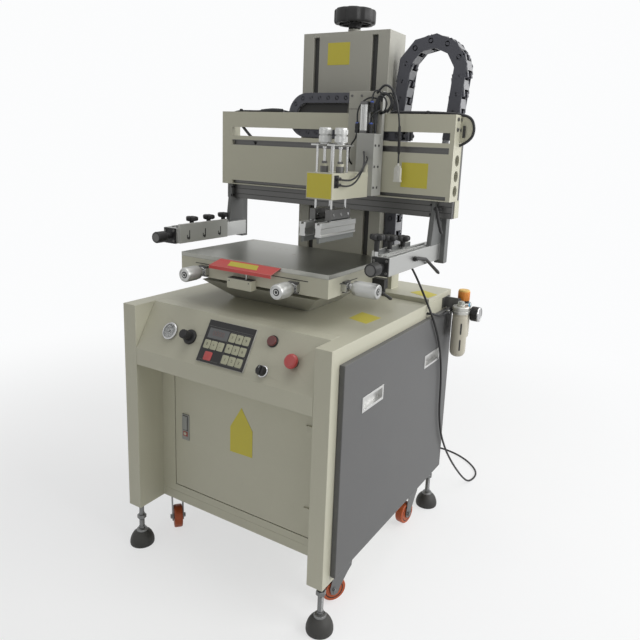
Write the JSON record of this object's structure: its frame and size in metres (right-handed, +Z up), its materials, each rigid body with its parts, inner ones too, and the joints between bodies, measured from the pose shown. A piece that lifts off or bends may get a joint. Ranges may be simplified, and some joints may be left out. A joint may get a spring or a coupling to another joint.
{
  "type": "flatbed screen printing machine",
  "caption": "Column screen printing machine: cabinet with sloping console, cross-slide table, lifting head with squeegee carriage, frame arms and energy chains.",
  "frame": {"origin": "on the floor under the middle of the machine's outline, its free cord not counted", "axes": "+X to the machine's right seen from its front, +Y to its back, +Z up"},
  "size_m": [0.879, 1.1917, 1.666],
  "materials": {
    "air_cylinder": "extruded body",
    "air_hose": "black hose",
    "air_service_unit": "metal bowls, orange knob, black gauge",
    "arm_knobs_left": "black moulded",
    "arm_knobs_right": "black moulded",
    "arm_rail": "dark ground metal",
    "beam": "smooth paint",
    "beam_cables": "black sheath",
    "beam_chain": "black moulded links",
    "cabinet_shell": "smooth cream paint",
    "carriage": "smooth paint, dark casting",
    "carriage_hoses": "black sheath",
    "castor_fork_front_left": "zinc plated",
    "castor_fork_front_right": "zinc plated",
    "castor_fork_rear_left": "zinc plated",
    "castor_fork_rear_right": "zinc plated",
    "castor_plates": "zinc plated",
    "castor_wheel_front_left": "orange tread, black hub",
    "castor_wheel_front_right": "orange tread, black hub",
    "castor_wheel_rear_left": "orange tread, black hub",
    "castor_wheel_rear_right": "orange tread, black hub",
    "column": "smooth paint, milled slots",
    "console": "smooth cream paint with printed panel",
    "console_fittings": "black, with chrome rings and a glazed gauge",
    "cord_connector": "white moulded",
    "cord_gland": "black moulded",
    "foot_pads": "black rubber",
    "foot_stems": "zinc plated",
    "frame_arm_left": "smooth paint, bare clamp plate",
    "frame_arm_right": "smooth paint, bare clamp plate",
    "front_door": "smooth cream paint, black latch",
    "front_frame": "smooth cream paint",
    "guide_bar": "ground bar",
    "handwheel": "black moulded",
    "hanging_cord": "black sheath",
    "lift_chain": "black moulded links",
    "mains_coil": "black sheath",
    "mains_cord": "black sheath",
    "mains_plug": "black moulded",
    "panel_grips": "bare cast metal",
    "pressure_knob": "knurled",
    "rear_cover": "smooth cream paint",
    "selector_knob": "black moulded",
    "sensor_box": "black moulded",
    "service_bracket": "black paint",
    "side_panels": "dark grey satin paint",
    "squeegee_bracket": "smooth cream paint",
    "squeegee_unit_left": "steel rods, dark clamp bar, knurled knob",
    "squeegee_unit_right": "steel rods, dark clamp bar, knurled knob",
    "stop_button": "red moulded",
    "table_box": "smooth paint",
    "table_knob_left": "knurled",
    "table_knob_right": "knurled",
    "table_knob_side": "knurled",
    "table_pedestal": "smooth paint",
    "table_plate": "polished, used",
    "table_saddle": "dark ground metal",
    "warning_shelf": "red, worn"
  },
  "bodies": {
    "cabinet": {"cabinet_shell": "cabinet_shell", "console": "console", "front_frame": "front_frame", "side_panels": "side_panels", "panel_grips": "panel_grips", "foot_pads": "foot_pads", "foot_stems": "foot_stems", "castor_plates": "castor_plates", "rear_cover": "rear_cover", "column": "column", "lift_chain": "lift_chain", "table_pedestal": "table_pedestal", "console_fittings": "console_fittings", "service_bracket": "service_bracket", "air_service_unit": "air_service_unit", "air_hose": "air_hose", "cord_gland": "cord_gland", "mains_cord": "mains_cord", "mains_coil": "mains_coil", "mains_plug": "mains_plug"},
    "front_door": {"front_door": "front_door"},
    "handwheel": {"handwheel": "handwheel"},
    "stop_button": {"stop_button": "stop_button"},
    "selector_knob": {"selector_knob": "selector_knob"},
    "pressure_knob": {"pressure_knob": "pressure_knob"},
    "table_saddle": {"table_saddle": "table_saddle"},
    "table": {"table_box": "table_box", "table_plate": "table_plate", "sensor_box": "sensor_box", "warning_shelf": "warning_shelf"},
    "table_knob_left": {"table_knob_left": "table_knob_left"},
    "table_knob_right": {"table_knob_right": "table_knob_right"},
    "table_knob_side": {"table_knob_side": "table_knob_side"},
    "head": {"beam": "beam", "guide_bar": "guide_bar", "beam_chain": "beam_chain", "arm_rail": "arm_rail", "beam_cables": "beam_cables"},
    "arm_left": {"frame_arm_left": "frame_arm_left", "arm_knobs_left": "arm_knobs_left"},
    "arm_right": {"frame_arm_right": "frame_arm_right", "arm_knobs_right": "arm_knobs_right"},
    "carriage": {"carriage": "carriage", "air_cylinder": "air_cylinder", "squeegee_bracket": "squeegee_bracket", "carriage_hoses": "carriage_hoses", "hanging_cord": "hanging_cord", "cord_connector": "cord_connector"},
    "squeegee_left": {"squeegee_unit_left": "squeegee_unit_left"},
    "squeegee_right": {"squeegee_unit_right": "squeegee_unit_right"},
    "castor_front_left": {"castor_fork_front_left": "castor_fork_front_left"},
    "castor_wheel_front_left": {"castor_wheel_front_left": "castor_wheel_front_left"},
    "castor_front_right": {"castor_fork_front_right": "castor_fork_front_right"},
    "castor_wheel_front_right": {"castor_wheel_front_right": "castor_wheel_front_right"},
    "castor_rear_left": {"castor_fork_rear_left": "castor_fork_rear_left"},
    "castor_wheel_rear_left": {"castor_wheel_rear_left": "castor_wheel_rear_left"},
    "castor_rear_right": {"castor_fork_rear_right": "castor_fork_rear_right"},
    "castor_wheel_rear_right": {"castor_wheel_rear_right": "castor_wheel_rear_right"}
  },
  "joints": [
    {"name": "door_hinge", "type": "hinge", "parent": "cabinet", "child": "front_door", "pos_m": [0.2215, -0.295, 0.378], "axis": [0, 0, 1], "range_deg": [0, 100]},
    {"name": "stop_press", "type": "slide", "parent": "cabinet", "child": "stop_button", "axis": [0, 0.8593, -0.5115], "range_m": [0, 0.005], "stiffness_N_per_m": 400, "springref_m": -0.002},
    {"name": "selector_turn", "type": "hinge", "parent": "cabinet", "child": "selector_knob", "pos_m": [0.11, -0.37266, 0.68078], "axis": [0, -0.8593, 0.5115], "range_deg": [-45, 45]},
    {"name": "pressure_turn", "type": "hinge", "parent": "cabinet", "child": "pressure_knob", "pos_m": [-0.155, -0.35271, 0.71429], "axis": [0, -0.8593, 0.5115], "continuous": true},
    {"name": "handwheel_turn", "type": "hinge", "parent": "cabinet", "child": "handwheel", "pos_m": [-0.03, 0.261, 1.606], "axis": [0, 0, 1], "continuous": true},
    {"name": "saddle_slide", "type": "slide", "parent": "cabinet", "child": "table_saddle", "axis": [0, 1, 0], "range_m": [-0.008, 0.008]},
    {"name": "table_slide", "type": "slide", "parent": "table_saddle", "child": "table", "axis": [1, 0, 0], "range_m": [-0.008, 0.008]},
    {"name": "table_knob_left_turn", "type": "hinge", "parent": "table", "child": "table_knob_left", "pos_m": [-0.192, -0.263, 0.881], "axis": [0, -1, 0], "continuous": true},
    {"name": "table_knob_right_turn", "type": "hinge", "parent": "table", "child": "table_knob_right", "pos_m": [0.119, -0.263, 0.881], "axis": [0, -1, 0], "continuous": true},
    {"name": "table_knob_side_turn", "type": "hinge", "parent": "table", "child": "table_knob_side", "pos_m": [0.231, -0.171, 0.884], "axis": [1, 0, 0], "continuous": true},
    {"name": "head_lift", "type": "slide", "parent": "cabinet", "child": "head", "axis": [0, 0, 1], "range_m": [0, 0.16]},
    {"name": "arm_left_slide", "type": "slide", "parent": "head", "child": "arm_left", "axis": [1, 0, 0], "range_m": [-0.03, 0.06]},
    {"name": "arm_right_slide", "type": "slide", "parent": "head", "child": "arm_right", "axis": [1, 0, 0], "range_m": [-0.045, 0.03]},
    {"name": "carriage_slide", "type": "slide", "parent": "head", "child": "carriage", "axis": [1, 0, 0], "range_m": [-0.36, 0.05]},
    {"name": "squeegee_left_slide", "type": "slide", "parent": "carriage", "child": "squeegee_left", "axis": [0, 0, 1], "range_m": [-0.04, 0]},
    {"name": "squeegee_right_slide", "type": "slide", "parent": "carriage", "child": "squeegee_right", "axis": [0, 0, 1], "range_m": [-0.04, 0]},
    {"name": "castor_front_left_swivel", "type": "hinge", "parent": "cabinet", "child": "castor_front_left", "pos_m": [-0.345, -0.223, 0.132], "axis": [0, 0, 1], "continuous": true},
    {"name": "castor_front_left_wheel", "type": "hinge", "parent": "castor_front_left", "child": "castor_wheel_front_left", "pos_m": [-0.32355, -0.241, 0.044], "axis": [0.6428, 0.766, 0], "continuous": true},
    {"name": "castor_front_right_swivel", "type": "hinge", "parent": "cabinet", "child": "castor_front_right", "pos_m": [0.285, -0.223, 0.132], "axis": [0, 0, 1], "continuous": true},
    {"name": "castor_front_right_wheel", "type": "hinge", "parent": "castor_front_right", "child": "castor_wheel_front_right", "pos_m": [0.26894, -0.24594, 0.044], "axis": [0.8192, -0.5736, 0], "continuous": true},
    {"name": "castor_rear_left_swivel", "type": "hinge", "parent": "cabinet", "child": "castor_rear_left", "pos_m": [-0.345, 0.232, 0.132], "axis": [0, 0, 1], "continuous": true},
    {"name": "castor_rear_left_wheel", "type": "hinge", "parent": "castor_rear_left", "child": "castor_wheel_rear_left", "pos_m": [-0.33317, 0.20662, 0.044], "axis": [0.9063, 0.4226, 0], "continuous": true},
    {"name": "castor_rear_right_swivel", "type": "hinge", "parent": "cabinet", "child": "castor_rear_right", "pos_m": [0.285, 0.232, 0.132], "axis": [0, 0, 1], "continuous": true},
    {"name": "castor_rear_right_wheel", "type": "hinge", "parent": "castor_rear_right", "child": "castor_wheel_rear_right", "pos_m": [0.2811, 0.20427, 0.044], "axis": [0.9903, -0.1392, 0], "continuous": true}
  ]
}
